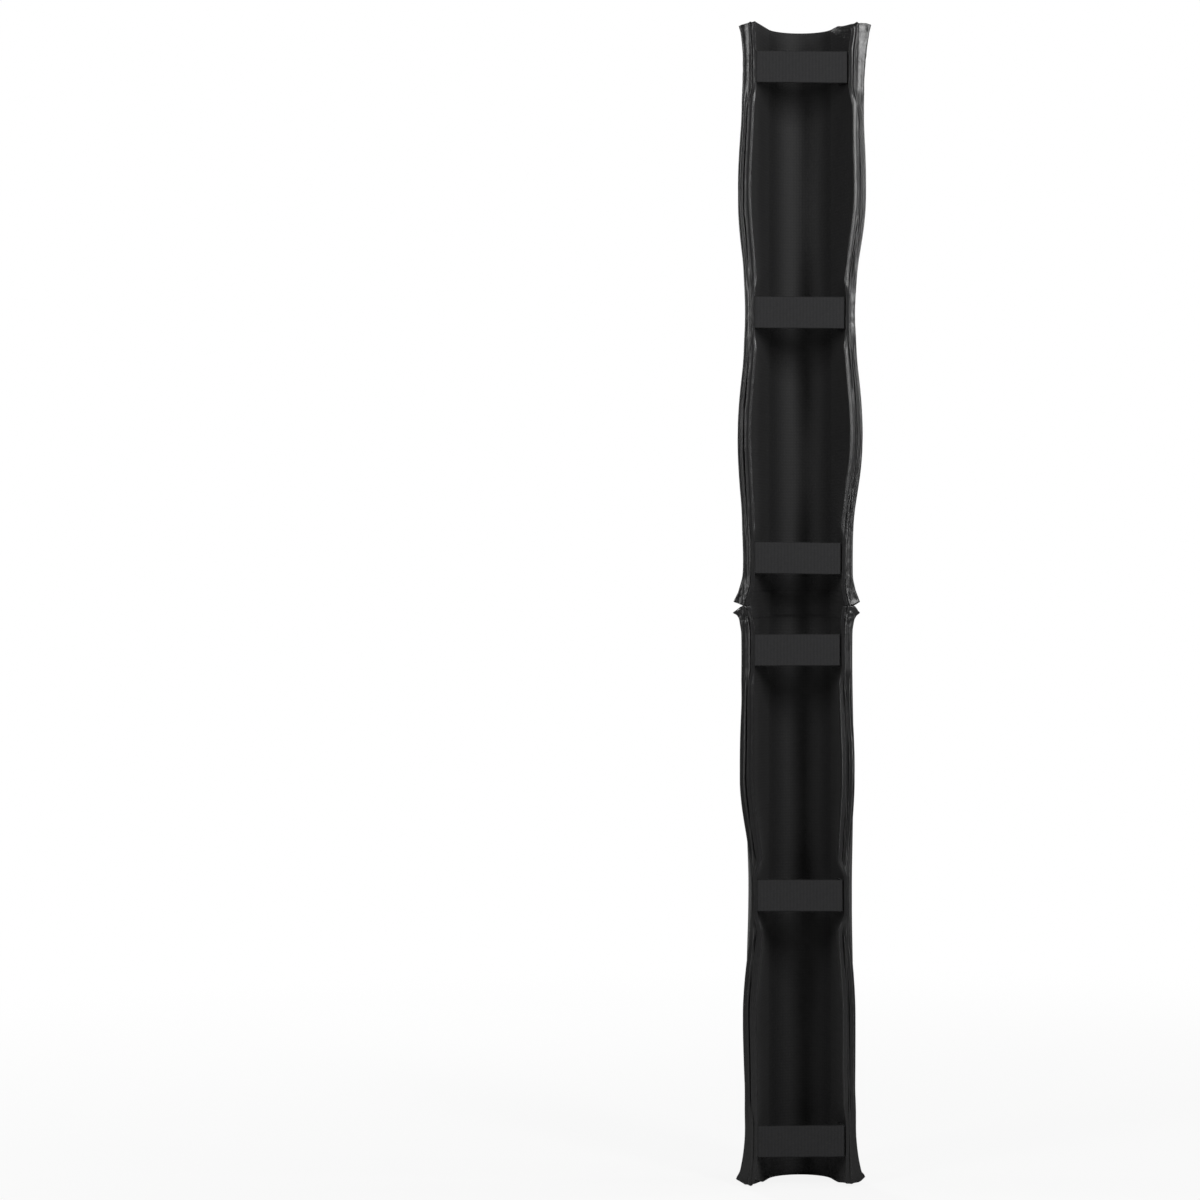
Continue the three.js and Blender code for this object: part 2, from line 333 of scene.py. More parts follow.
def midway(heights):
    return [(low + high) / 2 for low, high in zip(heights, heights[1:])]


lower_straps, upper_straps = strap_heights[:3], strap_heights[3:]
stations = sorted([0, HALF_LENGTH, 2 * HALF_LENGTH] + strap_heights
                  + midway(lower_straps) + midway(upper_straps))


def between_stations(height, values):
    place = np.interp(height, stations, range(len(stations)))
    below = np.minimum(place.astype(int), len(stations) - 2)
    share = (1 - np.cos(np.pi * (place - below))) / 2
    values = np.array(values)
    return values[below] + (values[below + 1] - values[below]) * share


def flare(distance, size_and_reach, power=2):
    size, reach = size_and_reach
    return size * np.clip(1 - distance / reach, 0, 1) ** power


def near_strap(height, hold, release):
    """1 beside a strap and 0 away from every strap."""
    nearest = np.min([np.abs(height - strap_height) for strap_height in strap_heights], axis=0)
    return 1 - ease(nearest, hold, release)


def ear_flare(height):
    """How far the corners beside the joint stand out, as two pointed ears."""
    to_joint = np.abs(height - HALF_LENGTH)
    upper = flare(to_joint, UPPER_EAR_FLARE, EAR_POWER)
    return np.where(height > HALF_LENGTH, upper, flare(to_joint, LOWER_EAR_FLARE, EAR_POWER))


def outer_reach(height, side):
    reach = between_stations(height, EDGE_REACH[side]) + flare(height, FOOT_FLARE) + ear_flare(height)
    tip = flare(np.abs(height - HALF_LENGTH), LOWER_TIP_FLARE, EAR_POWER)
    reach = reach + (height <= HALF_LENGTH) * tip
    return reach + flare(2 * HALF_LENGTH - height, TOP_FLARE[side])


def inner_reach(height, side):
    """The lining's corner. Beside a strap it stays where the strap is held."""
    width = EDGE_WIDTH - STRAP_PINCH * near_strap(height, 0, PINCH_REACH)
    free = between_stations(height, EDGE_REACH[side]) - width
    free = free + INNER_FOOT_SHARE * flare(height, FOOT_FLARE) + INNER_EAR_SHARE * ear_flare(height)
    held = near_strap(height, STRAP_HOLD, STRAP_RELEASE)
    at_strap = np.interp(height, strap_heights, INNER_AT_STRAP[side])
    return free + (at_strap - free) * held


def both_sides(function, height, side):
    return np.where(side > 0, function(height, 1), function(height, -1))


for number, strap_height in enumerate(strap_heights, 1):
    reaches = [float(outer_reach(np.array([strap_height]), side)[0]) for side in (1, -1)]
    print(f"strap {number} at {strap_height:.0f} mm: edges reach", [round(r, 1) for r in reaches])

# %% [markdown]
# Wrapping takes a point's three numbers to its place. With pull at 0 it gives the straight form that the
# cover was cut for. With pull at 1 it gives the form that the straps draw it into.

# %% Wrapping


def wrap(round_share, depth, height, pull=1):
    """Places in plan, in mm, of points at a depth from the lining's inner face."""
    side = np.where(round_share < 0, -1, 1)
    walked = np.abs(round_share) * half_round
    angle = np.minimum(walked, arc_length) / CHANNEL_RADIUS - math.pi / 2
    beyond = np.maximum(0, walked - arc_length)
    x = np.cos(angle) * (CHANNEL_RADIUS + depth) + rearward.x * beyond
    y = np.sin(angle) * (CHANNEL_RADIUS + depth) + rearward.y * beyond
    swing = both_sides(inner_reach, height, side) - inner_corner.x
    share = flank_share(round_share)
    return (x + pull * swing * share ** 2) * side, y


def beside_edge(depth, along, height, side):
    """Places in plan, in mm, at a depth into a rear edge and at a distance behind it."""
    x = inner_reach(height, side) + outward.x * depth + rearward.x * along
    y = inner_corner.y + outward.y * depth + rearward.y * along
    return x * side, y


def wall_at(round_share, height, pull):
    """Thickness of the wall, from the lining's inner face to the outside."""
    side = np.where(round_share < 0, -1, 1)
    edge = both_sides(outer_reach, height, side) - both_sides(inner_reach, height, side)
    edge = EDGE_WIDTH + (edge - EDGE_WIDTH) * pull
    return WALL + (edge / outward.x - WALL) * flank_share(round_share) ** 2


# %% [markdown]
# The two ends and the joint aren't cut straight across at the rear. Each rear corner was measured: how far it
# falls short of the end, at a few places from the lining's side (0) to the outside (1). At the joint both
# lengths fall back towards the outside, which leaves a notch between two ears.

# %% Corners of the rear edges
CORNER_FALL = {
    ("foot", 1): {0: 11, 0.1: 5.5, 0.17: 0, 0.25: 2.8, 0.5: 1.3, 0.72: 4.5, 1: 9.5},
    ("foot", -1): {0: 5, 0.62: 4.6, 0.77: 6.5, 1: 13},
    ("top", 1): {0: 0, 0.16: 1.6, 0.23: 0.3, 0.53: 0.6, 0.8: 2.2, 1: 5},
    ("top", -1): {0: 9.4, 0.3: 0, 0.36: 1.8, 0.42: 0.6, 0.74: 0, 1: 2.6},
}
CORNER_REACH = 26
REAR_FROM = 0.35
FRONT_END_FALL = 3
NOTCH_FROM = 0.58
FRONT_NOTCH = 4.2
UPPER_EAR_FALL = 5
LOWER_EAR_FALL = 10
JOINT_DROP = 2.6
JOINT_DROP_REACH = 60


def end_shift(round_share, wall_share, height):
    """How far upwards a point is moved by the falls at the ends and at the joint, in mm."""
    side = np.where(round_share < 0, -1, 1)
    rear = ease(flank_share(round_share), REAR_FROM, 1)
    wall_share = np.clip(wall_share, 0, 1)
    shift = 0 * height
    for (end, corner_side), falls in CORNER_FALL.items():
        up, to_end = (1, height) if end == "foot" else (-1, 2 * HALF_LENGTH - height)
        plain = FRONT_END_FALL * wall_share ** 3
        fall = plain + (np.interp(wall_share, list(falls), list(falls.values())) - plain) * rear
        shift = shift + up * fall * (1 - ease(to_end, 0, CORNER_REACH)) * (side == corner_side)
    upper = height > HALF_LENGTH
    to_joint = np.abs(height - HALF_LENGTH)
    ear = np.where(upper, UPPER_EAR_FALL, -LOWER_EAR_FALL)
    notch = np.where(upper, FRONT_NOTCH, -FRONT_NOTCH) * (1 - rear) + ear * rear
    notch = notch * np.clip((wall_share - NOTCH_FROM) / (1 - NOTCH_FROM), 0, 1)
    shift = shift + notch * (1 - ease(to_joint, 0, CORNER_REACH))
    return shift - JOINT_DROP * rear * (1 - ease(to_joint, 0, JOINT_DROP_REACH))


# %% [markdown]
# Every soft piece starts flat, as it is cut and sewn, and is then wrapped. A flat piece is a cube, scaled to
# its size, with its edges rounded and its long edges subdivided into a fine grid. Each point keeps its flat
# place as an attribute, so a pattern such as leather grain follows the material wherever the piece bends.

# %% Flat pieces


def flat_piece(size, cuts, rounding, segments=3):
    """A box of size (round, deep, tall) in mm, rounded, with so many cuts along each direction."""
    bm = bmesh.new()
    bmesh.ops.create_cube(bm, size=1)
    bmesh.ops.scale(bm, vec=size, verts=bm.verts)
    bmesh.ops.bevel(
        bm, geom=bm.edges[:], offset=rounding, segments=segments, profile=0.5, affect="EDGES", material=-1
    )
    for axis, count in enumerate(cuts):
        # the edges that run along this axis from one rounding to the other
        long_edges = []
        for edge in bm.edges:
            span = edge.verts[1].co - edge.verts[0].co
            if abs(span[axis]) > 0.99 * span.length and span.length > size[axis] - 2.5 * rounding:
                long_edges.append(edge)
        if count:
            bmesh.ops.subdivide_edges(bm, edges=long_edges, cuts=count, use_grid_fill=True)
    return bm


def points_of(bm):
    """Columns of the points' places along each axis."""
    return np.array([vert.co for vert in bm.verts]).T


def keep_places(bm, name, columns):
    """Stores three numbers on each point, for a material or a later step."""
    layer = bm.verts.layers.float_vector.new(name)
    for vert, place in zip(bm.verts, zip(*columns)):
        vert[layer] = place


def move_points(bm, x, y, z):
    for vert, place in zip(bm.verts, zip(x, y, z)):
        vert.co = Vector(place) * MM


def wrinkle(u, v, seed):
    """Smooth random values of about -1 to 1, one for each pair of numbers."""
    return np.array([noise.noise((a, b, seed)) for a, b in zip(u, v)])


# %% [markdown]
# Vinyl leather is a knitted cloth coated with PVC and embossed by a grained roller. It is a dense black with
# a satin gloss. The grain's pebbles are about 1 mm, too fine for this picture, so a coarser mottle of a few
# millimetres goes with them. Seen along the surface, the pebbles hide one another's gloss, so there the skin
# is rougher.

# %% Vinyl leather
GRAIN_MM = 1.3
GRAIN_EDGE = 0.22
GRAIN_DEPTH_MM = 0.06
MOTTLE_MM = 4.5
MOTTLE_RANGE = (0.3, 0.75)
MOTTLE_DEPTH_MM = 0.26
CREASE_MM = 22
CREASE_DEPTH_MM = 0.8
VINYL_SHADES = (0x080809, 0x111112)
VINYL_ROUGHNESS = (0.29, 0.4)
VINYL_IOR = 1.53
TURNED_RANGE = (0.35, 0.8)
TURNED_ROUGHNESS = 0.4


def per_metre(size_mm):
    """The scale of a pattern whose features are this size."""
    return 1 / (size_mm * MM)


def flat_coordinates(tree):
    return node(tree, "ShaderNodeAttribute", attribute_name="flat_place").outputs["Vector"]


def mottled(tree, place, size_mm, detail, roughness=0.5):
    """Noise with features of this size."""
    inputs = {"Vector": place, "Scale": per_metre(size_mm), "Detail": detail, "Roughness": roughness}
    return node(tree, "ShaderNodeTexNoise", inputs).outputs["Fac"]


vinyl, tree = new_material("pvc_leather_embossed")
flat = flat_coordinates(tree)
grain = node(tree, "ShaderNodeTexVoronoi", {"Vector": flat, "Scale": per_metre(GRAIN_MM)},
             feature="DISTANCE_TO_EDGE")
grain_height = ranged(tree, grain.outputs["Distance"], 0, GRAIN_EDGE, 0, 1)
mottle = mottled(tree, flat, MOTTLE_MM, detail=5, roughness=0.62)
crease = mottled(tree, flat, CREASE_MM, detail=3)
turned = node(tree, "ShaderNodeLayerWeight", {"Blend": 0.5}).outputs["Facing"]
gloss = ranged(tree, mottle, *MOTTLE_RANGE, *VINYL_ROUGHNESS)
dulled = ranged(tree, turned, *TURNED_RANGE, 0, TURNED_ROUGHNESS)
crease_bump = bump_of(tree, crease, 0.5, CREASE_DEPTH_MM)
mottle_bump = bump_of(tree, mottle, 0.5, MOTTLE_DEPTH_MM, crease_bump)
skin = node(tree, "ShaderNodeBsdfPrincipled", {
    "Base Color": shade_between(tree, mottle, *VINYL_SHADES, *MOTTLE_RANGE),
    "Roughness": calculated(tree, "ADD", gloss, dulled), "IOR": VINYL_IOR,
    "Normal": bump_of(tree, grain_height, 0.25, GRAIN_DEPTH_MM, mottle_bump)})
finish_material(tree, skin)

# %% [markdown]
# The cover is one closed, padded form for each length: outside, rear edges, ends, and the inner side that
# the lining hides. First comes its grid, in the form that the straps draw it into. Where a rear edge meets an
# end, the rounding is squared up, because three seams meet in a sewn corner and draw it to a point.

# %% Grid of the cover
COVER_CUTS = (66, 13, 180)
COVER_ROUNDING = 3.6
COVER_INNER = LINING + CLEARANCE
REAR_DENSITY = 0.45
END_DENSITY = 0.3
SQUARE_UP = 0.75
LENGTH_BASES = {"lower": 0, "upper": HALF_LENGTH + CLEARANCE}
tall = HALF_LENGTH - CLEARANCE
cover_deep = WALL - COVER_INNER


def denser(share, amount):
    """Moves grid lines that are evenly spaced from -1 to 1 towards both ends."""
    return (1 - amount) * share + amount * np.sin(share * math.pi / 2)


def squared_up(y, z, rear):
    """Moves the points of the rim between the outside and an end out towards the sharp corner."""
    into_y = (y - cover_deep / 2 + COVER_ROUNDING) / COVER_ROUNDING
    into_z = (np.abs(z) - tall / 2 + COVER_ROUNDING) / COVER_ROUNDING
    in_rim = (into_y > 0) & (into_z > 0)
    power = 1 - SQUARE_UP * rear
    more_y = np.clip(into_y, 1e-6, 1) ** power - into_y
    more_z = np.clip(into_z, 1e-6, 1) ** power - into_z
    return y + in_rim * more_y * COVER_ROUNDING, z + in_rim * np.sign(z) * more_z * COVER_ROUNDING


def cover_form(round_share, wall_share, height, pull):
    """Places of the cover's points, in mm."""
    wall = wall_at(round_share, height, pull)
    depth = COVER_INNER + wall_share * (wall - COVER_INNER)
    x, y = wrap(round_share, depth, height, pull)
    return x, y, height + pull * end_shift(round_share, wall_share, height)


def cover_grid(name, base):
    bm = flat_piece((2 * half_round, cover_deep, tall), COVER_CUTS, COVER_ROUNDING)
    x, y, z = points_of(bm)
    y, z = squared_up(y, z, flank_share(x / half_round))
    round_share = denser(x / half_round, REAR_DENSITY)
    wall_share = y / cover_deep + 0.5
    height = base + tall / 2 + denser(z / tall * 2, END_DENSITY) * tall / 2
    keep_places(bm, "flat_place", (round_share * half_round * MM, y * MM, height * MM))
    keep_places(bm, "pad_place", (round_share, wall_share, height))
    move_points(bm, *cover_form(round_share, wall_share, height, pull=1))
    bmesh.ops.recalc_face_normals(bm, faces=bm.faces[:])
    cover = new_object(name, mesh_of(bm, name), vinyl)
    return cover, np.array(cover_form(round_share, wall_share, height, pull=0)).T * MM


covers = {}
for name, base in LENGTH_BASES.items():
    covers[name] = cover_grid(f"{name}_cover", base)
    print(name, "cover grid:", len(covers[name][0].data.vertices), "points")

# %% [markdown]
# The vinyl settles on its foam in a cloth simulation. The cloth starts in the drawn form, and its rest shape
# is the straight form that the cover was cut for, a little enlarged. The foam holds the inner side and the
# front, and a small pressure keeps the rest full. A cap on how far a point may move keeps the pad's size.
# Beside a strap the vinyl is pulled tight over the foam, so there the cap is small.

# %% Settling the vinyl on its foam
SETTLE_FRAMES = 20
SETTLE_CAP = 2.4
CAP_AT_STRAP = 0.5
CAP_HOLD = 36
CAP_RELEASE = 90
LOOSE = 1.012
LOOSE_ALONG_FLANK = (0.1, 0.75)
LOOSE_THROUGH_WALL = (0.15, 0.4)
VINYL_CLOTH = {
    "quality": 6, "mass": 0.25, "tension_stiffness": 30, "compression_stiffness": 30, "shear_stiffness": 12,
    "bending_stiffness": 1.2, "air_damping": 2, "use_pressure": True, "uniform_pressure_force": 4,
}


def places_of(mesh, attribute):
    values = np.empty(len(mesh.vertices) * 3)
    mesh.attributes[attribute].data.foreach_get("vector", values)
    return values.reshape(-1, 3).T


def coordinates(mesh):
    values = np.empty(len(mesh.vertices) * 3)
    mesh.vertices.foreach_get("co", values)
    return values.reshape(-1, 3)


def held_by_foam(round_share, wall_share):
    """1 where the vinyl can't leave the foam, and 0 where it is loose."""
    along_flank = ease(flank_share(round_share), *LOOSE_ALONG_FLANK)
    return 1 - along_flank * ease(wall_share, *LOOSE_THROUGH_WALL)


def settle(cover, as_cut):
    """Lets the cover settle. Returns how far the simulation moved each point, in mm, before the cap."""
    scene = bpy.context.scene
    round_share, wall_share, height = places_of(cover.data, "pad_place")
    start = coordinates(cover.data)
    held = held_by_foam(round_share, wall_share)
    group = cover.vertex_groups.new(name="held")
    for index, weight in enumerate(held):
        group.add([index], float(weight), "REPLACE")
    cover.shape_key_add(name="drawn")
    rest = cover.shape_key_add(name="as_cut")
    rest.data.foreach_set("co", (as_cut * LOOSE).ravel())
    cloth = cover.modifiers.new("cloth", "CLOTH")
    for setting, value in VINYL_CLOTH.items():
        setattr(cloth.settings, setting, value)
    cloth.settings.effector_weights.gravity = 0
    cloth.settings.vertex_group_mass = "held"
    cloth.settings.rest_shape_key = rest
    cloth.point_cache.frame_end = SETTLE_FRAMES
    for step in range(1, SETTLE_FRAMES + 1):
        scene.frame_set(step)
    settled = coordinates(cover.evaluated_get(bpy.context.evaluated_depsgraph_get()).data)
    cover.modifiers.remove(cloth)
    cover.shape_key_clear()
    scene.frame_set(1)
    move = settled - start
    size = np.linalg.norm(move, axis=1)
    cap = (SETTLE_CAP + (CAP_AT_STRAP - SETTLE_CAP) * near_strap(height, CAP_HOLD, CAP_RELEASE)) * MM
    shorter = np.where(size > 0, cap * np.tanh(size / cap) / np.maximum(size, 1e-9), 1)
    cover.data.vertices.foreach_set("co", (start + move * shorter[:, None]).ravel())
    cover.data.update()
    return size / MM


for name, (cover, as_cut) in covers.items():
    moved = settle(cover, as_cut)
    print(f"{name} cover: the vinyl moved {moved.mean():.2f} mm on average, {moved.max():.1f} mm at most")

# %% [markdown]
# One subdivision smooths the settled cover. Then each point is moved in or out a little for what the
# simulation's grid is too coarse for: the seam's groove and puckers, the long folds of each rear edge, the
# small folds beside the straps, and the crumpled corners at the joint.

# %% Creases and puckers
EDGE_BAND = 24
EDGE_FROM = 0.955
EDGE_BY = 0.99
FACE_FROM = 18
FACE_BY = 30
TAPE_WIDTH = {1: 10.5, -1: 8.5}
TAPE_AT_STRAP = 5
SEAM_BESIDE_TAPE = 1.3
SEAM_DEPTH = 1.2
SEAM_WIDTH = 1.4
SEAM_PUCKER = 0.35
PUCKER_BESIDE_SEAM = 2
PUCKER_WIDTH = 3.5
# side: distance from the lining's corner, height and width of each long fold
LONG_FOLDS = {
    1: ((13.6, -2.4, 1.6), (19.4, 1.5, 2.8)),
    -1: ((10, -1.9, 1.2), (12.2, 1, 1.1), (14.2, -1.7, 1.1), (18.6, -1.2, 1.2), (21.3, 1.1, 1.4)),
}
FOLD_HOLD = 24
FOLD_RELEASE = 78
FOLD_ENDS = (20, 70)
FOLD_WANDER = 0.9
FOLD_WAVER = 0.7
FOLD_SHARE = 0.9
FOLD_SHARE_VARIES = 0.35
SMALL_FOLD = 0.12
SMALL_FOLD_AT_TOP = 0.4
SMALL_FOLD_ON_FLANK = 0.12
SMALL_FOLD_FROM_TAPE = (5, 11)
SMALL_FOLD_HOLD = 20
SMALL_FOLD_RELEASE = 90
CROWN = {1: 1.0, -1: 0.4}
CROWN_AT = 15
CROWN_WIDTH = 7
SOFT_WAVE = 0.5
FLANK_WAVE = 0.35
CRUMPLE = 2.2
CRUMPLE_REACH = (8, 34)
UPPER_CRUMPLE_SHARE = 0.35
UNDER_LINING = (0.02, 0.16)


def subdivided_once(piece):
    """Replaces a piece's mesh by its subdivided one."""
    modifier = piece.modifiers.new("subdivision", "SUBSURF")
    modifier.levels = 1
    modifier.render_levels = 1
    graph = bpy.context.evaluated_depsgraph_get()
    mesh = bpy.data.meshes.new_from_object(piece.evaluated_get(graph))
    piece.modifiers.remove(modifier)
    old = piece.data
    piece.data = mesh
    bpy.data.meshes.remove(old)


def line(place, centre, width):
    """A bell of height 1 about a line."""
    return np.exp(-((place - centre) / width) ** 2)


def away_from_straps(height):
    """1 where the long folds are open, and 0 beside the straps, the ends and the joint."""
    to_joint = np.abs(height - HALF_LENGTH)
    to_end = np.minimum(np.minimum(height, 2 * HALF_LENGTH - height), to_joint)
    return (1 - near_strap(height, FOLD_HOLD, FOLD_RELEASE)) * ease(to_end, *FOLD_ENDS)


def tape_width(height, side):
    """The binding is twisted inwards beside a strap, where less of it shows."""
    return TAPE_AT_STRAP + (TAPE_WIDTH[side] - TAPE_AT_STRAP) * away_from_straps(height)


def fold_relief(round_share, wall_share, height):
    """How far the cover stands in or out at a point, in mm."""
    # In each wrinkle, a height or a distance around the edge is divided by the wrinkle's own size in mm.
    side = np.where(round_share < 0, -1, 1)
    rear = flank_share(round_share)
    on_edge = ease(np.abs(round_share), EDGE_FROM, EDGE_BY)
    around = wall_share * EDGE_BAND + (1 - on_edge) * (1 - np.abs(round_share)) * half_round
    on_face = 1 - ease(around, FACE_FROM, FACE_BY)
    near = near_strap(height, SMALL_FOLD_HOLD, SMALL_FOLD_RELEASE)
    free = away_from_straps(height)
    to_joint = np.abs(height - HALF_LENGTH)
    crumpled = (1 - ease(to_joint, *CRUMPLE_REACH)) * np.where(height < HALF_LENGTH, 1, UPPER_CRUMPLE_SHARE)

    relief = SOFT_WAVE * wrinkle(round_share * 2.2, height / 140, 1.5)
    relief += FLANK_WAVE * rear * wrinkle(height / 60, side * 8 + around / 60, 3.5)
    seam = both_sides(tape_width, height, side) + SEAM_BESIDE_TAPE
    relief -= SEAM_DEPTH * (1 - free) * line(around, seam, SEAM_WIDTH)
    relief += np.where(side > 0, CROWN[1], CROWN[-1]) * (1 - free) * line(around, CROWN_AT, CROWN_WIDTH)
    for one_side, folds in LONG_FOLDS.items():
        for number, (centre, rise, width) in enumerate(folds):
            seed = 5.5 + number + 10 * (one_side > 0)
            wander = centre + FOLD_WANDER * wrinkle(height / 85, 0 * height, seed)
            if one_side < 0:
                wander = wander + FOLD_WAVER * wrinkle(height / 17, 0 * height, seed + 50)
            deep = FOLD_SHARE + FOLD_SHARE_VARIES * wrinkle(height / 55, 0 * height, seed + 30)
            relief += (side == one_side) * rise * free * deep * line(around, wander, width)

    # The small folds fade out on the flank, and are stronger higher up and on the -X side.
    on_flank = SMALL_FOLD_ON_FLANK + (1 - SMALL_FOLD_ON_FLANK) * on_face
    beside = rear * near * ease(around, *SMALL_FOLD_FROM_TAPE) * on_flank
    strength = (SMALL_FOLD + SMALL_FOLD_AT_TOP * (height / HALF_LENGTH / 2) ** 3) * (1.25 - 0.25 * side)
    relief += strength * beside * wrinkle(height / 7, around / 30 + side * 3, 8.5)
    relief += 0.5 * strength * beside * wrinkle(height / 3.6 + around / 9, around / 16 + side * 3, 9.5)
    relief += CRUMPLE * crumpled * rear * on_face * wrinkle(around / 7.5 + side * 11, height / 7, 10.5)
    pucker = line(around, seam + PUCKER_BESIDE_SEAM, PUCKER_WIDTH)
    relief += SEAM_PUCKER * on_edge * pucker * wrinkle(height / 3.2, side * 6.0, 13.5)
    return relief * ease(wall_share, *UNDER_LINING)


def add_relief(cover):
    mesh = cover.data
    normals = np.empty(len(mesh.vertices) * 3)
    mesh.vertex_normals.foreach_get("vector", normals)
    relief = fold_relief(*places_of(mesh, "pad_place"))
    moved = coordinates(mesh) + normals.reshape(-1, 3) * relief[:, None] * MM
    mesh.vertices.foreach_set("co", moved.ravel())
    mesh.update()
    return relief


for name, (cover, _) in covers.items():
    subdivided_once(cover)
    relief = add_relief(cover)
    cover.data.shade_smooth()
    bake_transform(cover)
    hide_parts(f"{name}_cover_right", f"{name}_cover_left",
                f"{name}_foam_right", f"{name}_foam_left")
    print(f"{name} cover: {len(cover.data.polygons)} faces,",
          f"relief {relief.min():.1f} to {relief.max():.1f} mm")

# %% [markdown]
# The lining is a plain woven nylon cloth. Its threads are far finer than a pixel here, so the weave is drawn
# coarser, enough to look like cloth from near by.

# %% Lining cloth
WEAVE_MM = 2.4
UNEVEN_MM = 7
DARK_BELOW = 0.35
SHEET_CUTS = (96, 0, 150)
SHEET_ROUNDING_SHARE = 0.35
WEB_CUTS = (96, 0, 6)
WEB_THICKNESS = 0.8


def ribs_along(tree, place, axis, rib_mm, uneven):
    """Ribs of this width, with gaps as wide, one after another along an axis."""
    inputs = {"Vector": place, "Scale": per_metre(rib_mm) / 20 * math.tau / 2, **uneven}
    return node(tree, "ShaderNodeTexWave", inputs, bands_direction=axis, wave_profile="SIN").outputs["Fac"]


def woven(name, dark, light, rib_mm, roughness, depth_mm):
    """A plain weave: two sets of ribs that cross, with a bump at each crossing."""
    material, tree = new_material(name)
    flat = flat_coordinates(tree)
    uneven = {"Distortion": 0.4, "Detail": 1, "Detail Scale": 3}
    ribs = [ribs_along(tree, flat, axis, rib_mm, uneven) for axis in ("X", "Z")]
    weave = calculated(tree, "MULTIPLY", *ribs)
    mixed = calculated(tree, "ADD", weave, mottled(tree, flat, UNEVEN_MM, detail=4))
    cloth = node(tree, "ShaderNodeBsdfPrincipled", {
        "Base Color": shade_between(tree, mixed, dark, light, DARK_BELOW), "Roughness": roughness,
        "Sheen Weight": 0.05, "Normal": bump_of(tree, weave, 0.6, depth_mm)})
    finish_material(tree, cloth)
    return material


lining_cloth = woven("nylon_lining", 0x070708, 0x121213, WEAVE_MM, 0.7, 0.3)


def soft_object(bm, name, material):
    """A smooth mesh object from a finished soft piece."""
    bmesh.ops.recalc_face_normals(bm, faces=bm.faces[:])
    mesh = mesh_of(bm, name)
    mesh.shade_smooth()
    return new_object(name, mesh, material)


def wrapped_sheet(name, base, sheet_tall, from_depth, to_depth, trim, cuts, material):
    """A thin sheet that follows the lining's face between two depths, short of each rear edge by trim."""
    deep = to_depth - from_depth
    size = (2 * (half_round - trim), deep, sheet_tall)
    bm = flat_piece(size, cuts, deep * SHEET_ROUNDING_SHARE, segments=1)
    x, y, z = points_of(bm)
    depth = from_depth + y + deep / 2
    height = base + z + sheet_tall / 2
    keep_places(bm, "flat_place", (x * MM, y * MM, height * MM))
    plan_x, plan_y = wrap(x / half_round, depth, height)
    move_points(bm, plan_x, plan_y, height + end_shift(x / half_round, 0 * x, height))
    return soft_object(bm, name, material)


for name, base in LENGTH_BASES.items():
    lining = wrapped_sheet(f"{name}_lining", base, tall, 0, LINING, 0, SHEET_CUTS, lining_cloth)
    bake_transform(lining)
    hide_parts(f"{name}_lining_right", f"{name}_lining_left")

web_low, web_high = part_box("seam_web_right")
seam_web = wrapped_sheet("seam_web", web_low[2] / MM, (web_high[2] - web_low[2]) / MM,
                         -CLEARANCE - WEB_THICKNESS, -CLEARANCE, CLEARANCE, WEB_CUTS, lining_cloth)
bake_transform(seam_web)
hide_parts("seam_web_right", "seam_web_left")

# %% [markdown]
# The binding is a tape sewn over the rear edges where cover and lining meet. It lies on the edge like the
# seam allowance of a cushion. Its inner border is rolled over the raw edges and makes a thin bead.

# %% Binding tape
TAPE_THICKNESS = 1.2
TAPE_CUTS = (14, 0, 300)
TAPE_ROUNDING = 0.5
TAPE_START = -0.8
TAPE_WANDER = 0.3
TAPE_PUCKER = 0.25
BEAD = 1.3
BEAD_AT = 1.1
BEAD_WIDTH = 0.9
TAPE_RISE = {1: 2.4, -1: 0.4}
RISE_AT_STRAP = 1.7
RISE_POWER = 1.3
UNDERSIDE_SHARE = 0.3
TAPE_CROWN = 0.9
TAPE_WEAVE_MM = 1.6
tape_finish = woven("polyester_binding", 0x0C0C0D, 0x181819, TAPE_WEAVE_MM, 0.34, 0.1)


def make_binding(name, base, side):
    """The tape of one rear edge. It rises towards its outer border, its outside more than its underside."""
    flat_width = TAPE_WIDTH[side]
    bm = flat_piece((flat_width, TAPE_THICKNESS, tall), TAPE_CUTS, TAPE_ROUNDING, segments=2)
    x, y, z = points_of(bm)
    across = x / flat_width + 0.5
    out = y / TAPE_THICKNESS + 0.5
    height = base + z + tall / 2
    keep_places(bm, "flat_place", (x * MM, y * MM, height * MM))
    free = away_from_straps(height)
    depth = across * tape_width(height, side) + TAPE_START
    depth = depth + TAPE_WANDER * wrinkle(height / 30, 0 * height, 31.5 * side)
    pucker = TAPE_PUCKER * wrinkle(height / 6, 1.5 * across, 21.5 * side)
    rise = (RISE_AT_STRAP + (TAPE_RISE[side] - RISE_AT_STRAP) * free) * across ** RISE_POWER
    rise = rise + free * (BEAD * line(depth, BEAD_AT, BEAD_WIDTH) + TAPE_CROWN * (1 - (2 * across - 1) ** 2))
    raised = UNDERSIDE_SHARE + (1 - UNDERSIDE_SHARE) * out
    along = CLEARANCE + out * TAPE_THICKNESS + raised * (rise + pucker)
    plan_x, plan_y = beside_edge(depth, along, height, side)
    wall_share = depth / (outer_reach(height, side) - inner_reach(height, side))
    move_points(bm, plan_x, plan_y, height + end_shift(side + 0 * height, wall_share, height))
    return soft_object(bm, name, tape_finish)


sides = {"right": 1, "left": -1}
for name, base in LENGTH_BASES.items():
    for side_name, side in sides.items():
        binding = make_binding(f"{name}_binding_tape_{side_name}", base, side)
        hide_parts(f"{name}_binding_{side_name}")
        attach(binding, f"{side_name}_shell")

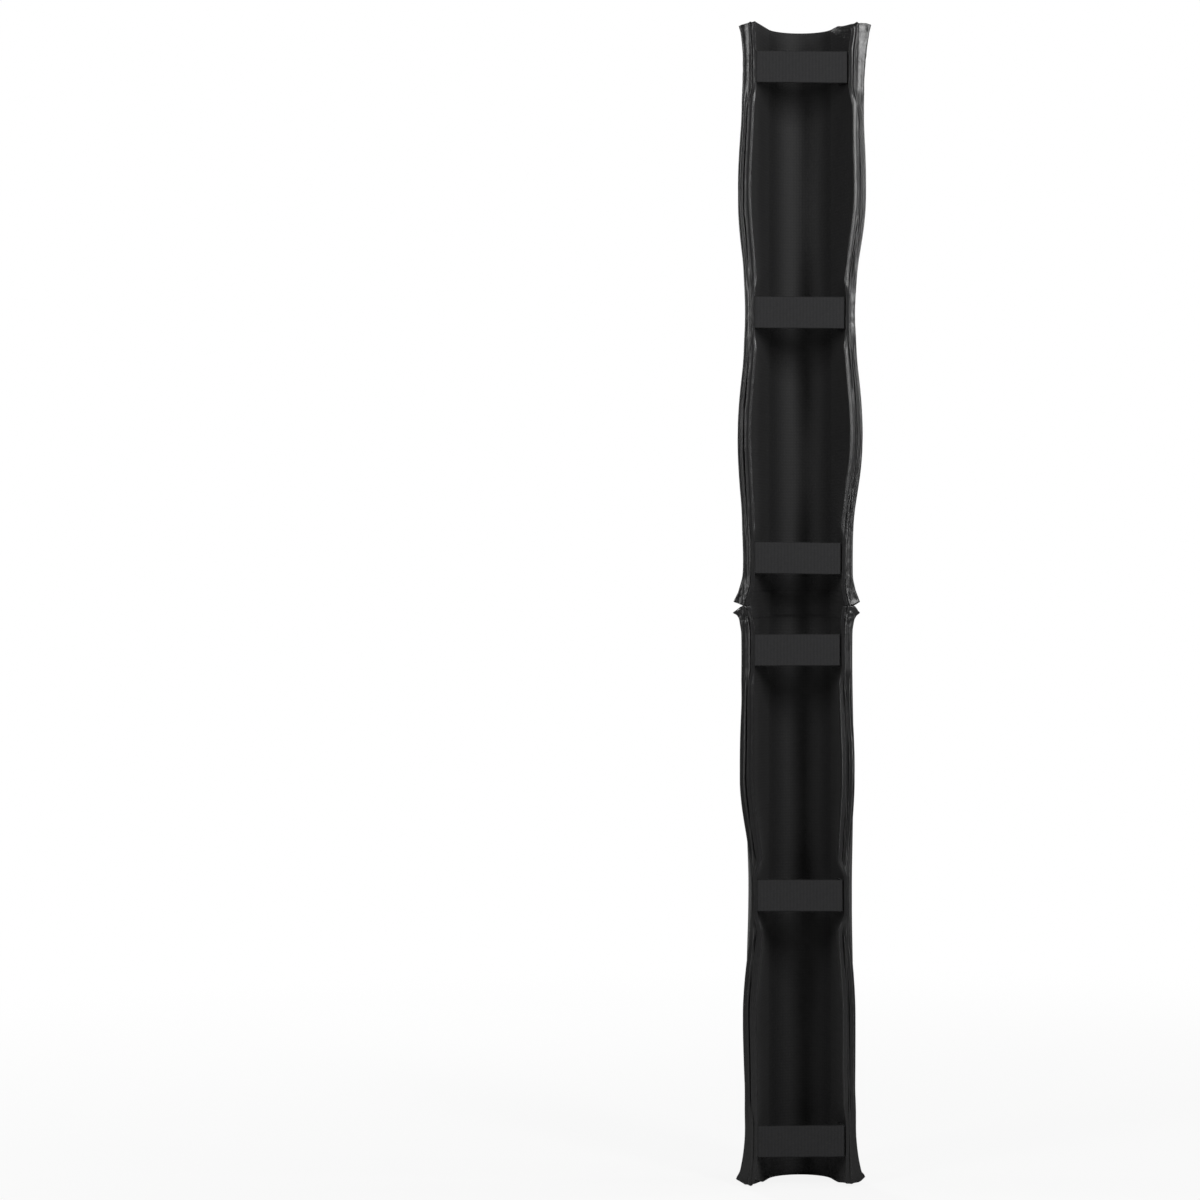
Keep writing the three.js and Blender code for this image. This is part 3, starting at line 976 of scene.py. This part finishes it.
# %% [markdown]
# Straps are 2 inch nylon webbing. The loom beats the filling thread into fine ribs across the strap, so seen
# from behind the ribs run up and down. Each strap comes out of the seam of the +X edge, crosses the open
# side, turns in at the -X edge and grips a patch on the lining.

# %% Webbing
RIB_MM = 2.6
ROW_MM = 1.4
FUZZ_MM = 6
RIB_SHARE = 0.35
WEBBING_SHADES = (0x232324, 0x2A2A2B)
WEBBING_RANGE = (0.3, 0.95)
# Painted shade: the strap's long edges darken towards near black over their last 1.4 mm, where shade falls
# beside them.
EDGE_SHADOW_COLOUR = 0x060606
EDGE_SHADOW_STRENGTH = 0.8
EDGE_SHADOW_FROM = 1.4
EDGE_SHADOW_BY = 0.4

webbing_finish, tree = new_material("nylon_webbing")
flat = flat_coordinates(tree)
ribs = ribs_along(tree, flat, "X", RIB_MM, {"Distortion": 0.7, "Detail": 2, "Detail Scale": 2})
rows = ribs_along(tree, flat, "Z", ROW_MM, {"Distortion": 0.5})
fuzz = mottled(tree, flat, FUZZ_MM, detail=6, roughness=0.7)
mixed = calculated(tree, "MULTIPLY_ADD", ribs, RIB_SHARE, fuzz)
parts = node(tree, "ShaderNodeSeparateXYZ", {0: flat})
to_middle = calculated(tree, "ABSOLUTE", parts.outputs["Z"])
# Painted shade: the webbing's colour is mixed towards near black at its long edges. This stands in for the
# shade along each edge.
edge_shadow = ranged(tree, to_middle, (STRAP_WIDTH / 2 - EDGE_SHADOW_FROM) * MM,
                  (STRAP_WIDTH / 2 - EDGE_SHADOW_BY) * MM, 0, EDGE_SHADOW_STRENGTH)
edge_shadowed = node(tree, "ShaderNodeMix", {
    "Factor": edge_shadow, "A": shade_between(tree, mixed, *WEBBING_SHADES, *WEBBING_RANGE),
    "B": colour(EDGE_SHADOW_COLOUR)}, data_type="RGBA")
cloth = node(tree, "ShaderNodeBsdfPrincipled", {
    "Base Color": edge_shadowed.outputs["Result"], "Roughness": 0.85, "Specular IOR Level": 0.25,
    "Normal": bump_of(tree, calculated(tree, "MULTIPLY", ribs, rows), 0.4, 0.4)})
finish_material(tree, cloth)

# %% [markdown]
# The strap's route in plan is a short list of corners, with the turn drawn as an arc. Any point of the flat
# strap is laid along it by its distance from the sewn end.

# %% Laying a strap
WEBBING = 1.6
PATCH = 1
PATCH_STACK = 3 * CLEARANCE + 2 * PATCH
CROSSING_ALONG = 2 * CLEARANCE + TAPE_THICKNESS + WEBBING / 2
CROSSING_START = 2
SEWN_IN = 6
SEWN_DEEP = 2
SEAM_AT = 0.5
TURN_RADIUS = 2.5
TURN_STEPS = 8
LEG_LENGTH = 30
LEG_STEPS = 4


def edge_point(depth, along, height, side=1):
    """A point near a rear edge in plan, in mm. Side is 1 for +X and -1 for -X."""
    places = beside_edge(depth, along, np.array([height]), side)
    return Vector([float(np.ravel(value)[0]) for value in places])


def lining_point(back, depth, height):
    """A point on the -X flank in plan, in mm, so far back from its rear edge."""
    share = np.array([-1 + back / half_round])
    return Vector([float(value[0]) for value in wrap(share, depth, np.array([height]))])


def strap_route(height):
    """Places along the strap's middle in plan, in mm, from its sewn end to the end of its leg."""
    crossing_y = inner_corner.y + CROSSING_ALONG * rearward.y
    leg_depth = -(PATCH_STACK + WEBBING / 2)
    foot = edge_point(leg_depth - TURN_RADIUS, 0, height, -1)
    along = (crossing_y - TURN_RADIUS - foot.y) / rearward.y
    centre = edge_point(leg_depth - TURN_RADIUS, along, height, -1)
    route = [edge_point(SEWN_IN, -SEWN_DEEP, height), edge_point(SEAM_AT, 0, height)]
    route.append(Vector((inner_reach(np.array([height]), 1)[0] - CROSSING_START, crossing_y)))
    turn = math.pi / 2 + SPLAY
    for step in range(TURN_STEPS + 1):
        angle = math.pi / 2 + turn * step / TURN_STEPS
        route.append(centre + Vector((math.cos(angle), math.sin(angle))) * TURN_RADIUS)
    for step in range(1, LEG_STEPS + 1):
        route.append(lining_point(LEG_LENGTH * step / LEG_STEPS, leg_depth, height))
    return route


def lengths_along(route):
    """The distance from the route's start to each of its corners."""
    marks = [0]
    for start, end in zip(route, route[1:]):
        marks.append(marks[-1] + (end - start).length)
    return marks


def on_route(route, marks, distance):
    """Place and side direction at a distance along the route."""
    distance = min(max(distance, 0), marks[-1])
    index = max(i for i, mark in enumerate(marks[:-1]) if mark <= distance)
    start, end = route[index], route[index + 1]
    heading = (end - start).normalized()
    place = start + heading * (distance - marks[index])
    return place, Vector((heading.y, -heading.x))


# %% Making the straps
STRAP_CUTS = (150, 0, 24)
STRAP_ROUNDING = 0.5
STRAP_TILTS = (1.2, -0.6, 0.4, -2.2, -1.4, -1.8)
EASE_LENGTH = 12
BOW = 0.9
EDGE_WAVE = 0.35


def make_strap(number, strap_height, tilt):
    """A strap laid along its route. Its crossing bows and tilts a little, as loose webbing does."""
    route = strap_route(strap_height)
    marks = lengths_along(route)
    strap_length = marks[-1]
    leg_from = strap_length - LEG_LENGTH
    print(f"strap {number} has {strap_length:.0f} mm of webbing")
    bm = flat_piece((strap_length, WEBBING, STRAP_WIDTH), STRAP_CUTS, STRAP_ROUNDING, segments=2)
    keep_places(bm, "flat_place", points_of(bm) * MM)
    for vert in bm.verts:
        distance = vert.co.x + strap_length / 2
        across = vert.co.z / STRAP_WIDTH
        place, aside = on_route(route, marks, distance)
        free = ease(distance, SEWN_IN, SEWN_IN + EASE_LENGTH)
        free *= 1 - ease(distance, leg_from - EASE_LENGTH, leg_from)
        bow = BOW * free * noise.noise((distance / 60, across * 1.5, number * 3.1))
        edge_wave = EDGE_WAVE * free * noise.noise((distance / 22, round(across), number * 5.7))
        plan = place + aside * (bow - vert.co.y)
        lift = tilt * (distance / strap_length - 0.5) + edge_wave
        vert.co = Vector((plan.x, plan.y, strap_height + vert.co.z + lift)) * MM
    return soft_object(bm, f"strap_{number}_webbing", webbing_finish)


for number, (strap_height, tilt) in enumerate(zip(strap_heights, STRAP_TILTS), 1):
    strap = make_strap(number, strap_height, tilt)
    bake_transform(strap)
    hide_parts(f"strap_{number}", f"strap_{number}_sewn_end")

# %% [markdown]
# Hook-and-loop tape holds each strap: a patch of loops on the lining and a patch of hooks on the strap's
# leg. Both are nylon, and from near by both look like a short felt.

# %% Hook and loop patches
FELT_MM = 1.2
FELT_SHADES = (0x0C0C0D, 0x2C2C2E)
PATCH_INSET = 3
PATCH_LENGTH = 26
PATCH_CUTS = (8, 0, 16)
PATCH_ROUNDING = 0.3
PATCH_NARROWER = 1
PATCH_DEPTHS = {"loop": -CLEARANCE - PATCH, "hook": -2 * (CLEARANCE + PATCH)}

grip_finish, tree = new_material("nylon_hook_and_loop")
felt = mottled(tree, node(tree, "ShaderNodeTexCoord").outputs["Object"], FELT_MM, detail=4)
felt_skin = node(tree, "ShaderNodeBsdfPrincipled", {
    "Base Color": shade_between(tree, felt, *FELT_SHADES), "Roughness": 0.95, "Sheen Weight": 0.2,
    "Normal": bump_of(tree, felt, 0.8, 0.6)})
finish_material(tree, felt_skin)


def make_patch(number, kind, strap_height):
    """A patch that lies along the -X flank, on the lining or on the strap's leg."""
    size = (PATCH_LENGTH, PATCH, STRAP_WIDTH - PATCH_NARROWER)
    bm = flat_piece(size, PATCH_CUTS, PATCH_ROUNDING, segments=2)
    x, y, z = points_of(bm)
    height = strap_height + z
    share = -1 + (PATCH_INSET + PATCH_LENGTH / 2 + x) / half_round
    plan_x, plan_y = wrap(share, PATCH_DEPTHS[kind] + PATCH / 2 + y, height)
    move_points(bm, plan_x, plan_y, height)
    return soft_object(bm, f"strap_{number}_{kind}_tape", grip_finish)


for number, strap_height in enumerate(strap_heights, 1):
    for kind, body in (("loop", "left_shell"), ("hook", f"strap_{number}_free")):
        patch = make_patch(number, kind, strap_height)
        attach(patch, body)
        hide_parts(f"strap_{number}_{kind}_patch")
